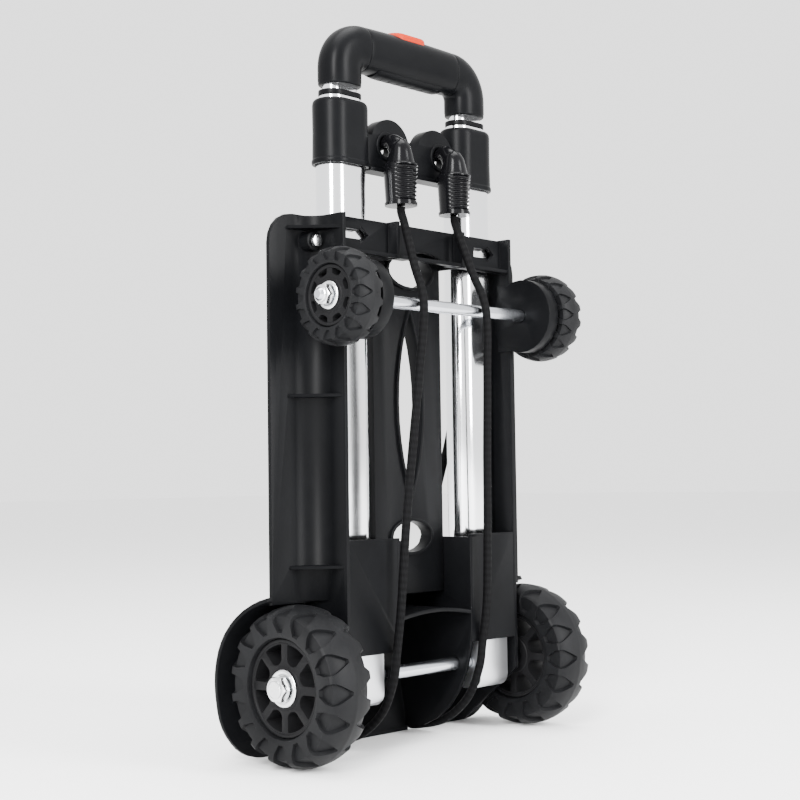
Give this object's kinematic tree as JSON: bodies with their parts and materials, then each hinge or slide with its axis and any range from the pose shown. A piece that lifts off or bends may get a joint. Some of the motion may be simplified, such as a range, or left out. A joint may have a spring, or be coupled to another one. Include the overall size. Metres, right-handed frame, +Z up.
{
  "type": "folding hand truck",
  "caption": "Folding hand truck, folded and upright: moulded black deck, four lugged wheels, telescoping oval-tube handle, elastic hook cords.",
  "frame": {"origin": "middle of the object's box at floor level, where the rear tyres and the deck's lower edge stand", "axes": "+X along the wheel axles, +Y from the ribbed underside towards the load side, +Z up"},
  "size_m": [0.29, 0.1331, 0.5263],
  "materials": {
    "black_plastic": "satin moulded black",
    "gloss_black_plastic": "glossy black",
    "hub_plastic": "matt black",
    "tyre_rubber": "dark grey-black hard rubber",
    "polished_aluminium": "bright polished",
    "satin_aluminium": "satin",
    "satin_steel": "satin",
    "bright_zinc": "bright zinc plate",
    "cord_sheath": "matt woven black",
    "red_button": "glossy orange-red"
  },
  "bodies": {
    "platform": {"deck": "black_plastic", "rear_axle": "satin_steel", "front_axle": "satin_steel", "anchor_bolt_left": "bright_zinc", "cord_anchor_left": "black_plastic", "bungee_cord_left": "cord_sheath", "rear_spacer_left": "black_plastic", "rear_washer_left": "bright_zinc", "rear_nut_left": "bright_zinc", "front_spacer_left": "black_plastic", "front_washer_left": "bright_zinc", "front_nut_left": "bright_zinc", "anchor_bolt_right": "bright_zinc", "cord_anchor_right": "black_plastic", "bungee_cord_right": "cord_sheath", "rear_spacer_right": "black_plastic", "rear_washer_right": "bright_zinc", "rear_nut_right": "bright_zinc", "front_spacer_right": "black_plastic", "front_washer_right": "bright_zinc", "front_nut_right": "bright_zinc"},
    "handle": {"hook_bracket": "black_plastic", "outer_tube_left": "polished_aluminium", "hinge_leg_left": "satin_aluminium", "cord_hook_left": "gloss_black_plastic", "outer_tube_right": "polished_aluminium", "hinge_leg_right": "satin_aluminium", "cord_hook_right": "gloss_black_plastic"},
    "middle_stage": {"mid_tube_left": "polished_aluminium", "mid_collar_left": "black_plastic", "mid_glide_left": "black_plastic", "mid_tube_right": "polished_aluminium", "mid_collar_right": "black_plastic", "mid_glide_right": "black_plastic"},
    "grip_stage": {"grip": "black_plastic", "return_spring": "satin_steel", "inner_tube_left": "polished_aluminium", "lock_block_left": "black_plastic", "grip_elbow_left": "black_plastic", "inner_tube_right": "polished_aluminium", "lock_block_right": "black_plastic", "grip_elbow_right": "black_plastic"},
    "release": {"release_button": "red_button", "release_yoke": "black_plastic", "release_rod_left": "satin_steel", "release_rod_right": "satin_steel"},
    "rear_wheel_left": {"rear_tyre_left": "tyre_rubber", "rear_hub_left": "hub_plastic", "rear_bush_left": "satin_steel"},
    "front_wheel_left": {"front_tyre_left": "tyre_rubber", "front_hub_left": "hub_plastic", "front_bush_left": "satin_steel"},
    "rear_wheel_right": {"rear_tyre_right": "tyre_rubber", "rear_hub_right": "hub_plastic", "rear_bush_right": "satin_steel"},
    "front_wheel_right": {"front_tyre_right": "tyre_rubber", "front_hub_right": "hub_plastic", "front_bush_right": "satin_steel"}
  },
  "joints": [
    {"name": "handle_fold", "type": "hinge", "parent": "platform", "child": "handle", "pos_m": [0, -0.0015, 0.055], "axis": [-1, 0, 0], "range_deg": [0, 90], "deforming": ["bungee_cord_left", "bungee_cord_right"]},
    {"name": "middle_stage_slide", "type": "slide", "parent": "handle", "child": "middle_stage", "axis": [0, 0, 1], "range_m": [0, 0.265]},
    {"name": "grip_stage_slide", "type": "slide", "parent": "middle_stage", "child": "grip_stage", "axis": [0, 0, 1], "range_m": [0, 0.255]},
    {"name": "release_press", "type": "slide", "parent": "grip_stage", "child": "release", "axis": [0, 0, -1], "range_m": [0, 0.0045], "stiffness_N_per_m": 600, "springref_m": -0.004, "deforming": ["return_spring"]},
    {"name": "rear_wheel_spin_left", "type": "hinge", "parent": "platform", "child": "rear_wheel_left", "pos_m": [-0.1218, -0.0015, 0.055], "axis": [1, 0, 0], "continuous": true},
    {"name": "front_wheel_spin_left", "type": "hinge", "parent": "platform", "child": "front_wheel_left", "pos_m": [-0.111, -0.0325, 0.318], "axis": [1, 0, 0], "continuous": true},
    {"name": "rear_wheel_spin_right", "type": "hinge", "parent": "platform", "child": "rear_wheel_right", "pos_m": [0.1218, -0.0015, 0.055], "axis": [1, 0, 0], "continuous": true},
    {"name": "front_wheel_spin_right", "type": "hinge", "parent": "platform", "child": "front_wheel_right", "pos_m": [0.111, -0.0325, 0.318], "axis": [1, 0, 0], "continuous": true}
  ]
}
